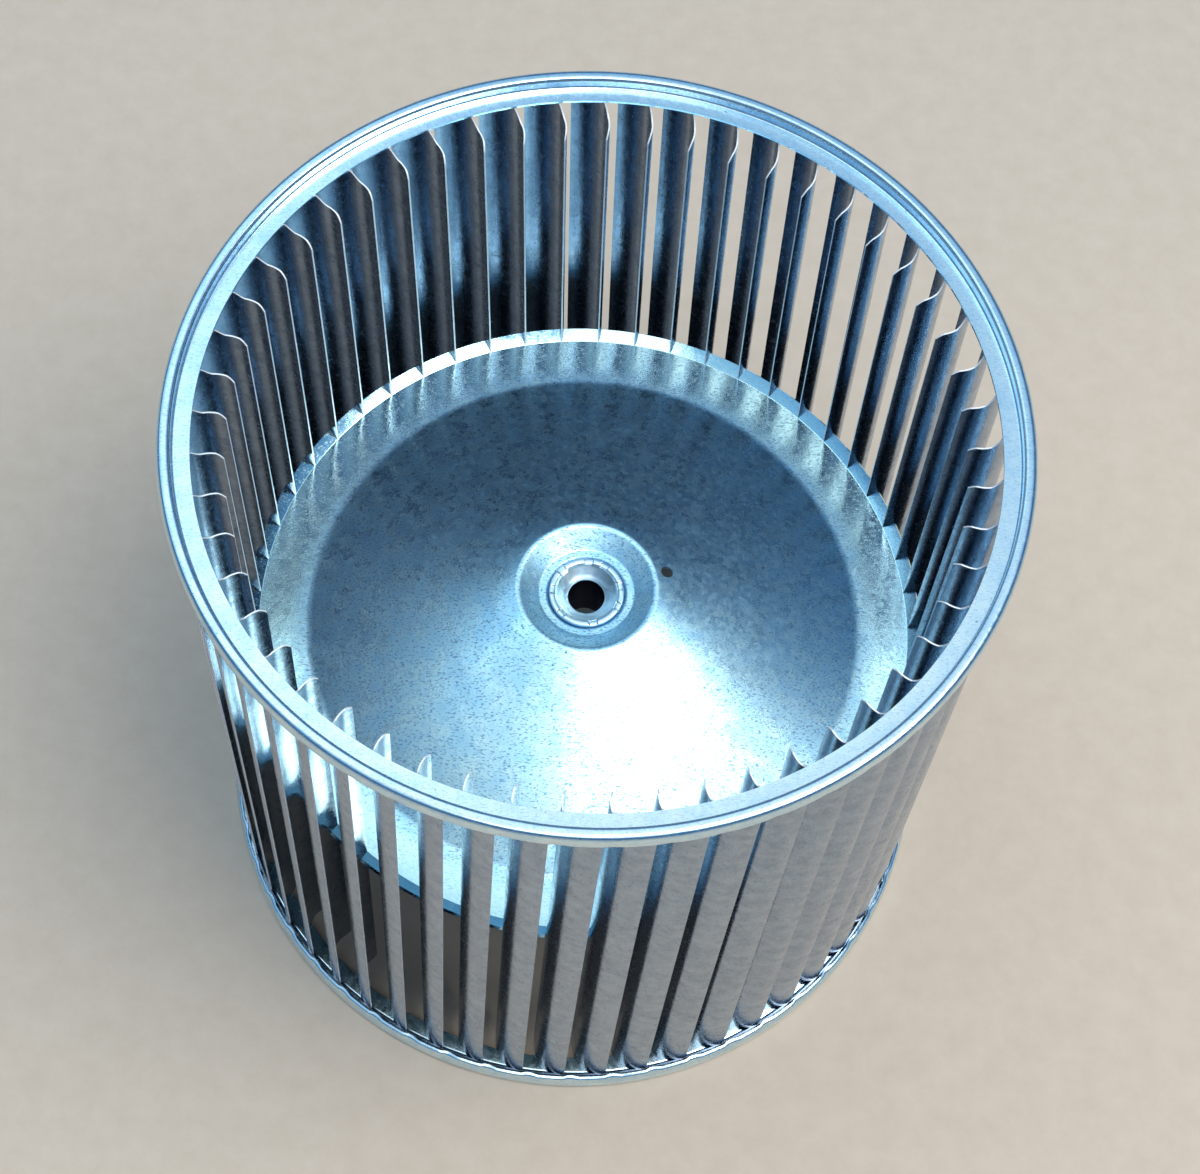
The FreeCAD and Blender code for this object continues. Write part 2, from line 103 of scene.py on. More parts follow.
aim = Vector((0, 0, AIM_HEIGHT))
eye = aim + EYE_DISTANCE * Vector((0, -cos(EYE_ELEVATION), sin(EYE_ELEVATION)))
level = (aim - eye).to_track_quat("-Z", "Y").to_matrix()
turn = Matrix.Rotation(CAMERA_YAW, 3, "Y") @ Matrix.Rotation(CAMERA_PITCH, 3, "X")
turn = turn @ Matrix.Rotation(CAMERA_ROLL, 3, "Z")
camera.matrix_world = Matrix.Translation(eye) @ (level @ turn).to_4x4()
print(f"lens {camera_data.lens:.1f} mm, eye at {tuple(round(v, 3) for v in eye)}")

# %% [markdown]
# ## Tools for sheet metal
#
# Rolled and pressed sheet is a line swept round the shaft and given a thickness. So most pieces
# here start as an open outline of a few corners, whose bends are rounded with a vertex bevel. The
# outline is spun, and the skin is thickened last, so that the thickness is the same everywhere.

# %% Outlines, spinning and thickening
BEND_STEP = radians(9)
SEAM_GAP = 0.002 * MM


def round_corner(bm, vert, length, segments):
    """Rounds one corner of an outline, starting this far before it."""
    bmesh.ops.bevel(bm, geom=[vert], offset=length, offset_type="OFFSET", segments=segments,
                    profile=0.5, affect="VERTICES", material=-1)


def bent_outline(bm, corners):
    """An open outline in the XZ plane through corners given as radius, height and bend radius."""
    verts = [bm.verts.new((radius, 0, height)) for radius, height, _ in corners]
    for here, there in zip(verts, verts[1:]):
        bm.edges.new((here, there))
    for before, here, after, vert in zip(corners, corners[1:], corners[2:], verts[1:]):
        if not here[2]:
            continue
        corner = Vector(here[:2])
        turned = pi - (Vector(before[:2]) - corner).angle(Vector(after[:2]) - corner)
        round_corner(bm, vert, here[2] * tan(turned / 2), max(2, round(turned / BEND_STEP)))


def spin_round(bm, steps):
    """Spins the outline once round the shaft and closes the seam."""
    bmesh.ops.spin(bm, geom=bm.verts[:] + bm.edges[:], cent=(0, 0, 0), axis=(0, 0, 1),
                   angle=2 * pi, steps=steps, use_merge=True, use_duplicate=False)
    bmesh.ops.remove_doubles(bm, verts=bm.verts[:], dist=SEAM_GAP)


def face_up(bm):
    """Turns the skin's faces so that they look up on the whole."""
    bmesh.ops.recalc_face_normals(bm, faces=bm.faces[:])
    lean = sum(face.normal.z * face.calc_area() for face in bm.faces)
    if lean < 0:
        bmesh.ops.reverse_faces(bm, faces=bm.faces[:])


def thicken(bm, thickness):
    """Gives the skin a thickness, away from the side that its faces look to."""
    bmesh.ops.solidify(bm, geom=bm.faces[:], thickness=thickness)


def polar(vert):
    """Radius and angle of a point round the shaft."""
    return hypot(vert.co.x, vert.co.y), atan2(vert.co.y, vert.co.x)


def set_polar(vert, radius, angle):
    """Moves a point to a radius and angle round the shaft, at its own height."""
    vert.co.x = radius * cos(angle)
    vert.co.y = radius * sin(angle)


SHARP = radians(32)


def smooth_and_crease(mesh):
    """Shades a mesh smooth and marks its sharp bends and cut edges."""
    bm = bmesh.new()
    bm.from_mesh(mesh)
    for face in bm.faces:
        face.smooth = True
    for edge in bm.edges:
        edge.smooth = edge.calc_face_angle(0) < SHARP
    bm.to_mesh(mesh)
    bm.free()


def make_piece(name, bm, materials, node):
    """Turns a bmesh into a piece that stands for a node of the frame."""
    mesh = bpy.data.meshes.new(name)
    bm.to_mesh(mesh)
    bm.free()
    smooth_and_crease(mesh)
    for material in materials:
        mesh.materials.append(material)
    piece = bpy.data.objects.new(name, mesh)
    bpy.context.scene.collection.objects.link(piece)
    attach(piece, "root")
    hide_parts(node)
    size = [round(v / MM, 1) for v in piece.dimensions]
    print(f"{name}: {len(mesh.polygons)} faces, {size} mm")
    return piece


# %% [markdown]
# ## Zinc
#
# Hot-dip galvanised sheet isn't one grey. The zinc freezes in small crystals that each mirror light
# a little differently, the rolls draw fine dark flecks out along the sheet, and handling leaves
# specks. An image could be wrapped round each piece, but that needs a seam somewhere. So one shader
# group makes colour, roughness and relief from the object's own coordinates, and each material sets
# its amounts.

# %% Short names for adding nodes


def add_node(tree, kind, inputs=None, **settings):
    """Adds a node, sets its options, and sets or links its inputs."""
    node = tree.nodes.new("ShaderNode" + kind)
    for key, value in settings.items():
        setattr(node, key, value)
    for key, value in (inputs or {}).items():
        if isinstance(value, bpy.types.NodeSocket):
            tree.links.new(value, node.inputs[key])
        else:
            node.inputs[key].default_value = value
    return node


def calc(tree, operation, first, second, clamp=False):
    """One step of arithmetic on two values or sockets."""
    inputs = {0: first, 1: second}
    return add_node(tree, "Math", inputs, operation=operation, use_clamp=clamp).outputs[0]


def add_part(tree, total, value, middle, amount, clamp=False):
    """Adds a share of how far a value is above or below its middle."""
    part = calc(tree, "MULTIPLY", calc(tree, "SUBTRACT", value, middle), amount)
    return calc(tree, "ADD", total, part, clamp=clamp)


def scale_to(tree, value, low, high, to_low=0.0, to_high=1.0):
    """Maps low to high onto another range, without going past its ends."""
    inputs = {"Value": value, "From Min": low, "From Max": high,
              "To Min": to_low, "To Max": to_high}
    return add_node(tree, "MapRange", inputs, clamp=True).outputs[0]


def mix_colours(tree, factor, first, second):
    """A mix of two colours."""
    node = add_node(tree, "Mix", {0: factor, 6: first, 7: second}, data_type="RGBA")
    return node.outputs[2]


# %% Give the zinc group its sockets
zinc = bpy.data.node_groups.new("galvanised_sheet", "ShaderNodeTree")
for name, kind, value in (
    ("Light Zinc", "NodeSocketColor", (0.7, 0.8, 0.88, 1)),
    ("Dark Zinc", "NodeSocketColor", (0.4, 0.5, 0.6, 1)),
    ("Mottle Size", "NodeSocketFloat", 5.0),
    ("Crystal Contrast", "NodeSocketFloat", 0.3),
    ("Fleck Stretch", "NodeSocketVector", (700.0, 2000.0, 2000.0)),
    ("Flecks", "NodeSocketFloat", 0.5),
    ("Specks", "NodeSocketFloat", 0.5),
    ("Roughness", "NodeSocketFloat", 0.3),
):
    item = zinc.interface.new_socket(name=name, in_out="INPUT", socket_type=kind)
    item.default_value = value
for name, kind in (
    ("Colour", "NodeSocketColor"),
    ("Roughness", "NodeSocketFloat"),
    ("Relief", "NodeSocketFloat"),
):
    zinc.interface.new_socket(name=name, in_out="OUTPUT", socket_type=kind)
given = zinc.nodes.new("NodeGroupInput").outputs
spot = add_node(zinc, "TexCoord").outputs["Object"]
print("zinc inputs:", ", ".join(socket.name for socket in given if socket.name))

# %% Mottle and crystals
CRYSTALS_PER_METRE = 620.0
GRAINS_PER_METRE = 1500.0
GRAIN_CONTRAST = 0.6
WARP = 0.9 * MM

per_metre = calc(zinc, "DIVIDE", 1 / MM, given["Mottle Size"])
mottle = add_node(zinc, "TexNoise",
                  {"Vector": spot, "Scale": per_metre, "Detail": 3.0, "Roughness": 0.7})
grain = add_node(zinc, "TexNoise", {"Vector": spot, "Scale": GRAINS_PER_METRE, "Detail": 1.0})
warped = add_node(zinc, "VectorMath", {0: grain.outputs["Color"], 1: (WARP, WARP, WARP), 2: spot},
                  operation="MULTIPLY_ADD").outputs[0]
crystals = add_node(zinc, "TexVoronoi", {"Vector": warped, "Scale": CRYSTALS_PER_METRE})
crystal = add_node(zinc, "SeparateColor", {"Color": crystals.outputs["Color"]}).outputs[0]

tone = scale_to(zinc, mottle.outputs[0], 0.32, 0.68)
tone = add_part(zinc, tone, crystal, 0.5, given["Crystal Contrast"])
tone = add_part(zinc, tone, grain.outputs[0], 0.5, GRAIN_CONTRAST, clamp=True)
sheet = mix_colours(zinc, tone, given["Dark Zinc"], given["Light Zinc"])
print("zinc nodes so far:", len(zinc.nodes))

# %% Flecks along the rolling direction, and specks
FLECK_COLOUR = (0.13, 0.29, 0.52, 1)
SPECK_COLOUR = (0.05, 0.14, 0.32, 1)
SPECKS_PER_METRE = 240.0
FLECK_EDGE = (0.56, 0.66)
SPECK_SHARE = 0.55
SPECK_REACH = 0.11
SPECK_EDGE = (-0.01, 0.03)

drawn = add_node(zinc, "Mapping", {"Vector": spot, "Scale": given["Fleck Stretch"]}).outputs[0]
fleck = add_node(zinc, "TexNoise", {"Vector": drawn, "Scale": 1.0, "Detail": 1.0}).outputs[0]
fleck = calc(zinc, "MULTIPLY", scale_to(zinc, fleck, *FLECK_EDGE), given["Flecks"])
flecked = mix_colours(zinc, fleck, sheet, FLECK_COLOUR)
speck_cells = add_node(zinc, "TexVoronoi", {"Vector": warped, "Scale": SPECKS_PER_METRE})
pick = add_node(zinc, "SeparateColor", {"Color": speck_cells.outputs["Color"]}).outputs[1]
reach_of_speck = scale_to(zinc, pick, SPECK_SHARE, 1.0, 0.0, SPECK_REACH)
speck = calc(zinc, "SUBTRACT", reach_of_speck, speck_cells.outputs["Distance"])
speck = calc(zinc, "MULTIPLY", scale_to(zinc, speck, *SPECK_EDGE), given["Specks"])
specks_and_shade = mix_colours(zinc, speck, flecked, SPECK_COLOUR)
print("zinc nodes so far:", len(zinc.nodes))

# %% Roughness and relief out of the group
FLECK_ROUGHNESS = 0.2
GRAIN_RELIEF = 0.15

rough = calc(zinc, "ADD", given["Roughness"], scale_to(zinc, crystal, 0.0, 1.0, -0.04, 0.04))
rough = calc(zinc, "ADD", rough, scale_to(zinc, mottle.outputs[0], 0.3, 0.7, 0.05, -0.04))
rough = calc(zinc, "ADD", rough, calc(zinc, "MULTIPLY", fleck, FLECK_ROUGHNESS))
relief = calc(zinc, "MULTIPLY", grain.outputs[0], GRAIN_RELIEF)
relief = calc(zinc, "ADD", relief, mottle.outputs[0])
end = zinc.nodes.new("NodeGroupOutput")
for name, value in (("Colour", specks_and_shade), ("Roughness", rough), ("Relief", relief)):
    zinc.links.new(value, end.inputs[name])
print("zinc nodes:", len(zinc.nodes))

# %% [markdown]
# The same zinc looks different on each piece. The rings are rolled smooth and mirror the most. The
# blades are darker sheet, whose flecks run along the blade, and their hollow side is painted darker
# still as painted shade. The disc's sheet has the most flecks and specks. The hub is plated after
# turning, and shears leave a rough cut edge of bare steel, painted near white as a painted glint.
# They could share one material, but each needs its own amounts.

# %% Make the materials
ALONG_X = (750.0, 2000.0, 2000.0)
ALONG_Z = (1900.0, 1900.0, 500.0)


def galvanised(name, light, dark, relief, metallic=1.0, **amounts):
    """A material of galvanised sheet with its own colours, relief in millimetres and amounts."""
    material = bpy.data.materials.new(name)
    material.use_nodes = True
    tree = material.node_tree
    shader = tree.nodes["Principled BSDF"]
    shader.inputs["Metallic"].default_value = metallic
    finish = add_node(tree, "Group", node_tree=zinc)
    finish.inputs["Light Zinc"].default_value = (*light, 1)
    finish.inputs["Dark Zinc"].default_value = (*dark, 1)
    for key, value in amounts.items():
        finish.inputs[key.replace("_", " ").title()].default_value = value
    bump = add_node(tree, "Bump", {"Strength": 1.0, "Distance": relief * MM,
                                   "Height": finish.outputs["Relief"]})
    tree.links.new(bump.outputs["Normal"], shader.inputs["Normal"])
    tree.links.new(finish.outputs["Colour"], shader.inputs["Base Color"])
    tree.links.new(finish.outputs["Roughness"], shader.inputs["Roughness"])
    return material


ring_zinc = galvanised(
    "ring_zinc", (0.74, 0.93, 1.0), (0.57, 0.80, 0.96), 0.03,
    mottle_size=9.0, crystal_contrast=0.15, flecks=0.25, specks=0.5, roughness=0.19)
blade_zinc = galvanised(
    "blade_zinc", (0.37, 0.46, 0.57), (0.25, 0.32, 0.42), 0.04, mottle_size=6.0,
    crystal_contrast=0.2, fleck_stretch=ALONG_Z, flecks=0.3, specks=0.5, roughness=0.20)
# The hollow side's darker colours are painted shade.
shaded_hollow_zinc = galvanised(
    "shaded_hollow_zinc", (0.26, 0.31, 0.38), (0.175, 0.215, 0.275), 0.04, mottle_size=6.0,
    crystal_contrast=0.2, fleck_stretch=ALONG_Z, flecks=0.3, specks=0.5, roughness=0.20)
disc_zinc = galvanised(
    "disc_zinc", (0.59, 0.90, 1.0), (0.40, 0.75, 0.97), 0.05, mottle_size=9.0,
    crystal_contrast=0.3, fleck_stretch=ALONG_X, flecks=0.8, specks=0.9, roughness=0.30)
hub_zinc = galvanised(
    "hub_zinc", (0.76, 0.94, 1.0), (0.58, 0.81, 0.97), 0.02,
    mottle_size=4.0, crystal_contrast=0.1, flecks=0.15, specks=0.3, roughness=0.34)
# The cut edge's near-white colour is partly bare steel and partly a painted glint.
cut_edge_and_painted_glint = galvanised(
    "cut_edge_and_painted_glint", (0.95, 0.97, 1.0), (0.82, 0.88, 0.94), 0.02, metallic=0.3,
    mottle_size=3.0, crystal_contrast=0.1, flecks=0.1, specks=0.2, roughness=0.4)
print("materials:", ", ".join(material.name for material in bpy.data.materials))

# %% [markdown]
# The press tool closes hard on the disc's shelf, so the zinc is smoother and shinier outside the
# cone, and it is painted paler there as a painted sheen. In the dish it is drawn thin, which leaves
# it duller. The groove round the hub's lip is painted dark as painted shade, and the hub's bore is
# painted nearly black as painted shade in the deep hole. All of these could be masks painted by
# hand, but they only depend on the distance from the shaft, so that distance drives them.

# %% Burnish the shelf and paint its sheen, dull the dish, and paint shade in the groove and the bore
SHELF_SHINE = 0.16
SHELF_EDGE = (99 * MM, 105 * MM)
# Painted sheen: outside the cone the shelf's zinc is mixed towards this paler colour.
PAINTED_SHEEN_ZINC = (0.66, 0.98, 1.0, 1)
PAINTED_SHEEN_AMOUNT = 0.65
DISH_DULLNESS = 0.14
DISH_EDGE = (23.0 * MM, 26.0 * MM)
# Painted shade: the disc in the groove round the hub's lip is darkened with this colour.
GROOVE_PAINTED_SHADE = (0.06, 0.16, 0.32, 1)
GROOVE_SHADE_AMOUNT = 0.9
GROOVE_SHADE_EDGE = (13.7 * MM, 14.3 * MM)
# Painted shade: the bore's wall is painted this nearly black colour.
BORE_PAINTED_SHADE = (0.035, 0.045, 0.09, 1)
BORE_SHADE_EDGE = (6.37 * MM, 6.50 * MM)


def zinc_of(tree):
    """The zinc group's node in a material."""
    return next(node for node in tree.nodes if node.type == "GROUP")


def shaft_distance(tree):
    """How far a point of the object is from the shaft's axis."""
    place = add_node(tree, "TexCoord").outputs["Object"]
    flat = add_node(tree, "VectorMath", {0: place, 1: (1, 1, 0)}, operation="MULTIPLY").outputs[0]
    return add_node(tree, "VectorMath", {0: flat}, operation="LENGTH").outputs["Value"]


def tint_inside(tree, from_shaft, edge, amount, tint):
    """The zinc's colour, with a tint mixed in nearer to the shaft than this edge."""
    inside = scale_to(tree, from_shaft, *edge, amount, 0.0)
    return mix_colours(tree, inside, zinc_of(tree).outputs["Colour"], tint)


def set_colour(tree, colour):
    """Feeds a colour to a material's shader."""
    tree.links.new(colour, tree.nodes["Principled BSDF"].inputs["Base Color"])


tree = disc_zinc.node_tree
from_shaft = shaft_distance(tree)
burnish = scale_to(tree, from_shaft, *SHELF_EDGE, 0.0, SHELF_SHINE)
rough = calc(tree, "SUBTRACT", zinc_of(tree).outputs["Roughness"], burnish)
rough = calc(tree, "ADD", rough, scale_to(tree, from_shaft, *DISH_EDGE, DISH_DULLNESS, 0.0))
tree.links.new(rough, tree.nodes["Principled BSDF"].inputs["Roughness"])
# Painted shade darkens the disc in the groove round the hub's lip.
specks_and_shade = tint_inside(tree, from_shaft, GROOVE_SHADE_EDGE, GROOVE_SHADE_AMOUNT, GROOVE_PAINTED_SHADE)
# The shelf is painted paler here, as a painted sheen.
painted_sheen = scale_to(tree, from_shaft, *SHELF_EDGE, 0.0, PAINTED_SHEEN_AMOUNT)
set_colour(tree, mix_colours(tree, painted_sheen, specks_and_shade, PAINTED_SHEEN_ZINC))

tree = hub_zinc.node_tree
# The bore's wall is painted nearly black, as painted shade in the deep hole.
set_colour(tree, tint_inside(tree, shaft_distance(tree), BORE_SHADE_EDGE, 1.0, BORE_PAINTED_SHADE))
print("nodes in the disc's material:", len(disc_zinc.node_tree.nodes))

# %% [markdown]
# ## End rings
#
# Each end ring is one strip rolled to a section: a flat flange that backs the blades' ends, a wall,
# a round crown, and a skirt that is crimped inwards over the strip's margin. The crimping tool
# leaves a small dent between each two blades. Lofting the section along a circle would do as well,
# but the sheet tools already spin one. The outline follows the ring's outer skin and is thickened
# inwards.

# %% Roll the rings
BEAD_WIDTH = 4.35 * MM
BEAD_HEIGHT = 4.4 * MM
FLANGE_WIDTH = 5.55 * MM
LIP_INSET = 1.85 * MM
SKIRT_DEPTH = ring_high[2] - ring_low[2]
RING_STEPS = BLADES * 10
OUTLET_ANGLE = radians(103.67)
TWIST = radians(1.1) / (134.5 * MM)
DENT = 0.65 * MM
DENT_SHARE = 0.34
DENT_FULLNESS = 0.6
LIP_START = 4.9 * MM
SKIRT_FOLD = 5.7 * MM
SKIRT_WAIST = (0.8 * MM, 7.6 * MM)
SKIRT_START = 2.5 * MM


def crimp(angle, end):
    """How deep the lip is pressed in at this angle, on the upper (1) or lower (-1) ring."""
    along = ((end * angle - OUTLET_ANGLE - end * TWIST * WIDTH / 2) / PITCH) % 1
    return DENT * max(0.0, sin(pi * min(1.0, along / DENT_SHARE))) ** DENT_FULLNESS


def make_ring(name, node, end):
    """One end ring: the upper (1), or the same ring turned over for the lower end (-1)."""
    bm = bmesh.new()
    wall = RIM - BEAD_WIDTH
    bent_outline(bm, (
        (wall - FLANGE_WIDTH, -BEAD_HEIGHT, 0),
        (wall, -BEAD_HEIGHT, 0.6 * MM),
        (wall, 0, 1.3 * MM),
        (RIM, 0, 2.1 * MM),
        (RIM, -SKIRT_FOLD, 2.4 * MM),
        (RIM - SKIRT_WAIST[0], -SKIRT_WAIST[1], 0.9 * MM),
        (RIM - LIP_INSET, -SKIRT_DEPTH, 0),
    ))
    spin_round(bm, RING_STEPS)
    face_up(bm)
    for vert in bm.verts:
        radius, angle = polar(vert)
        sunk = -vert.co.z - LIP_START
        if radius > RIM - SKIRT_START and sunk > 0:
            share = sunk / (SKIRT_DEPTH - LIP_START)
            set_polar(vert, radius - crimp(angle, end) * share, angle)
    thicken(bm, RING_SHEET)
    if end > 0:
        bmesh.ops.translate(bm, verts=bm.verts[:], vec=(0, 0, WIDTH))
    else:
        turn_over = Matrix.Rotation(pi, 3, "X")
        bmesh.ops.rotate(bm, verts=bm.verts[:], cent=(0, 0, 0), matrix=turn_over)
    return make_piece(name, bm, [ring_zinc], node)


make_ring("upper_ring_rolled", "upper_end_ring", 1)
make_ring("lower_ring_rolled", "lower_end_ring", -1)

# %% [markdown]
# ## Blades
#
# All the blades are lanced from one strip and curved forwards. A blade starts as a flat grid, whose
# rows and columns are moved onto the arc, because a bent plate would have to be trimmed to its
# shouldered ends afterwards. The ends follow the pressed shoulder, and the outer corners are cut
# back to the necks that join the strip's margins. The press also leaves the drum very slightly
# twisted.

# %% The blade's arc and ends
STRIP_OUTER = max(strip_high[0], strip_high[1])
BLADE_DEPTH = 16.95 * MM
INLET = STRIP_OUTER - BLADE_DEPTH
BLADE_LEAD = radians(5.45)
BLADE_END = 5.3 * MM
SHOULDER_DEPTH = 12.5 * MM
SHOULDER_FLAT = 10.1 * MM
SHOULDER_START = 2.7 * MM
SHOULDER_RUN = 4.2 * MM
SHOULDER_SWEEP = 5.0 * MM
NECK_SETBACK = 1.3 * MM
NECK_DEPTH = 9.6 * MM
NECK_RUN = 3.4 * MM
END_ROWS_DEPTH = 16.0 * MM
ROWS = 22
END_ROWS = 8
COLUMNS = 20

inlet_edge = Vector((INLET * cos(BLADE_LEAD), -INLET * sin(BLADE_LEAD)))
reach = STRIP_OUTER - inlet_edge.x
BACK = (reach**2 + inlet_edge.y**2) / (2 * reach)
arc_centre = STRIP_OUTER - BACK
arc_start = atan2(inlet_edge.y, inlet_edge.x - arc_centre)
print(f"blade back radius {BACK / MM:.2f} mm, swept {degrees(-arc_start):.0f} degrees")


def ease(share):
    """A smooth step from 0 to 1."""
    share = min(1.0, max(0.0, share))
    return share * share * (3 - 2 * share)


def blade_end_depth(radius):
    """How far below the crown the blade's end is at this radius."""
    out = radius - INLET
    rounding = sin(pi / 2 * min(1.0, max(0.0, out / SHOULDER_START)))
    sweep = ease((out - SHOULDER_START - SHOULDER_RUN) / SHOULDER_SWEEP)
    rise = (SHOULDER_DEPTH - SHOULDER_FLAT) * rounding
    climb = (SHOULDER_FLAT - BLADE_END) * sweep
    return SHOULDER_DEPTH - rise - climb


def blade_reach(depth):
    """How much of the arc is left at this depth below the crown: less of it at the neck."""
    return 1 - NECK_SETBACK / (BACK * -arc_start) * ease((NECK_DEPTH - depth) / NECK_RUN)


# %% Press one blade and repeat it
MAX_LEAN = 0.7
MAX_SLIP = 0.08
SKIN_FACING = 0.7
BACK_SIDE, CUT_EDGE, HOLLOW = 0, 1, 2


def press_blade(bm):
    """One blade whose outer edge is on the X axis, as a skin that looks away from its centre."""
    grid = bmesh.ops.create_grid(bm, x_segments=COLUMNS, y_segments=ROWS, size=0.5)["verts"]
    half = WIDTH / 2
    for vert in grid:
        column = vert.co.x + 0.5
        row = (vert.co.y + 0.5) * ROWS
        lower = row > ROWS / 2
        from_end = min(row, ROWS - row)
        depth = END_ROWS_DEPTH
        for _ in range(3):
            angle = arc_start * (1 - column * blade_reach(depth))
            x = arc_centre + BACK * cos(angle)
            y = BACK * sin(angle)
            end = blade_end_depth(hypot(x, y))
            if from_end <= END_ROWS:
                depth = end + (END_ROWS_DEPTH - end) * from_end / END_ROWS
            else:
                share = (from_end - END_ROWS) / (ROWS / 2 - END_ROWS)
                depth = END_ROWS_DEPTH + (half - END_ROWS_DEPTH) * share
        height = depth if lower else WIDTH - depth
        vert.co = (x, y, height)


blade = bmesh.new()
press_blade(blade)
bmesh.ops.recalc_face_normals(blade, faces=blade.faces[:])
middle = min(blade.faces, key=lambda face: abs(face.calc_center_median().z - WIDTH / 2))
outward = middle.calc_center_median() - Vector((arc_centre, 0, WIDTH / 2))
if middle.normal.dot(outward) < 0:
    bmesh.ops.reverse_faces(blade, faces=blade.faces[:])
thicken(blade, STRIP_SHEET)
for face in blade.faces:
    skin = face.calc_center_median() - Vector((arc_centre, 0, 0))
    skin.z = 0
    facing = face.normal.dot(skin.normalized())
    if abs(facing) < SKIN_FACING:
        face.material_index = CUT_EDGE
    else:
        face.material_index = BACK_SIDE if facing > 0 else HOLLOW
blade_mesh = bpy.data.meshes.new("one_blade")
blade.to_mesh(blade_mesh)
blade.free()
print("one blade:", len(blade_mesh.polygons), "faces")

drum = bmesh.new()
hand = Random(53)
for index in range(BLADES):
    fresh = len(drum.verts)
    drum.from_mesh(blade_mesh)
    drum.verts.ensure_lookup_table()
    verts = drum.verts[fresh:]
    lean = radians(hand.uniform(-MAX_LEAN, MAX_LEAN))
    pivot = Vector((STRIP_OUTER, 0, 0))
    bmesh.ops.rotate(drum, verts=verts, cent=pivot, matrix=Matrix.Rotation(lean, 3, "Z"))
    place_angle = OUTLET_ANGLE + index * PITCH + radians(hand.uniform(-MAX_SLIP, MAX_SLIP))
    to_place = Matrix.Rotation(place_angle, 3, "Z")
    bmesh.ops.rotate(drum, verts=verts, cent=(0, 0, 0), matrix=to_place)
bpy.data.meshes.remove(blade_mesh)
print("blades in the drum:", BLADES)

# %% [markdown]
# The two uncut margins of the strip join the blades inside the rings' beads. A real margin is
# gathered a little at each blade, but it is hidden, so a plain band stands for it.

# %% Add the strip's margins
MARGIN_EDGE = strip_high[2]
MARGIN_HEIGHT = 6.0 * MM
for foot in (MARGIN_EDGE - MARGIN_HEIGHT, strip_low[2]):
    margin = bmesh.new()
    bent_outline(margin, ((STRIP_OUTER, foot, 0), (STRIP_OUTER, foot + MARGIN_HEIGHT, 0)))
    spin_round(margin, BLADES * 4)
    bmesh.ops.recalc_face_normals(margin, faces=margin.faces[:])
    margin.faces.ensure_lookup_table()
    first = margin.faces[0]
    if first.normal.dot(first.calc_center_median()) < 0:
        bmesh.ops.reverse_faces(margin, faces=margin.faces[:])
    thicken(margin, STRIP_SHEET)
    margin_mesh = bpy.data.meshes.new("one_margin")
    margin.to_mesh(margin_mesh)
    margin.free()
    drum.from_mesh(margin_mesh)
    bpy.data.meshes.remove(margin_mesh)
for vert in drum.verts:
    radius, angle = polar(vert)
    set_polar(vert, radius, angle + TWIST * (vert.co.z - WIDTH / 2))
make_piece("blade_strip_pressed", drum, [blade_zinc, cut_edge_and_painted_glint, shaded_hollow_zinc],
           "blade_strip")

# %% [markdown]
# ## Centre disc
#
# The disc is pressed from one blank. From the hub outwards it has a small dimple that the hub's lip
# sits in, a flat seat, a dish wall up to a rounded brim, a shallow cone, a nearly flat shelf, and a
# turned-up rim that is slotted for the blades. A flat disc could be cut and then bent, but spinning
# the outline gives each bend its true radius. One more ring of edges on the cone, just outside the
# place of the tooling hole, keeps the faces that the hole cuts short, so they shade like the rest.

# %% Press the disc
SEAT_HEIGHT = 152.1 * MM
BRIM_PLACE = (23.9 * MM, disc_high[2] + 0.35 * MM)
SHELF_PLACE = (97.6 * MM, 130.2 * MM)
CONE_RING = 32.5 * MM
HOLE_RADIUS = 12.05 * MM
DIMPLE = 0.6 * MM
CREASE_HEIGHT = 131.0 * MM
RIM_WIDTH = 3.85 * MM
RIM_RISE = 2.75 * MM
DISC_STEPS = BLADES * 8
SLOT_ANGLE = OUTLET_ANGLE - BLADE_LEAD + STRIP_SHEET / 2 / INLET

cone_slope = (SHELF_PLACE[1] - BRIM_PLACE[1]) / (SHELF_PLACE[0] - BRIM_PLACE[0])

disc = bmesh.new()
bent_outline(disc, (
    (HOLE_RADIUS, SEAT_HEIGHT - DIMPLE, 0),
    (13.2 * MM, SEAT_HEIGHT - DIMPLE, 0.3 * MM),
    (14.3 * MM, SEAT_HEIGHT, 0.4 * MM),
    (16.6 * MM, SEAT_HEIGHT, 1.3 * MM),
    (*BRIM_PLACE, 2.4 * MM),
    (CONE_RING, BRIM_PLACE[1] + cone_slope * (CONE_RING - BRIM_PLACE[0]), 0),
    (*SHELF_PLACE, 7.0 * MM),
    (INLET, CREASE_HEIGHT, 0.5 * MM),
    (INLET + RIM_WIDTH, CREASE_HEIGHT + RIM_RISE, 0),
))
to_slot = Matrix.Rotation(SLOT_ANGLE, 3, "Z")
bmesh.ops.rotate(disc, verts=disc.verts[:], cent=(0, 0, 0), matrix=to_slot)
spin_round(disc, DISC_STEPS)
face_up(disc)
print("disc skin:", len(disc.faces), "faces")

# %% [markdown]
# The rim's slots take the blades' inner edges. A cutter for each slot would be slow and leave
# ragged faces. The skin is split along the rim at each blade instead, and the slot is opened by
# drawing the split edges apart just far enough for the blade, which leans back a little as it goes
# outwards.

# %% Open the slots
BLADE_LEAN = radians(10)
SLOT_HOLLOW_GAP = 0.30 * MM
SLOT_BACK_GAP = 0.45 * MM
ON_SLOT = 0.01
RIM_SLACK = 0.2 * MM


def nearest_slot(angle):
    """How far an angle is past the nearest slot, as a share of the pitch from -0.5 to 0.5."""
    return ((angle - SLOT_ANGLE) / PITCH + 0.5) % 1 - 0.5


slot_edges = []
for edge in disc.edges:
    (near, angle), (far, _) = sorted(polar(vert) for vert in edge.verts)
    outwards = near > INLET - RIM_SLACK and far - near > RIM_SLACK
    if outwards and abs(nearest_slot(angle)) < ON_SLOT:
        slot_edges.append(edge)
bmesh.ops.split_edges(disc, edges=slot_edges)

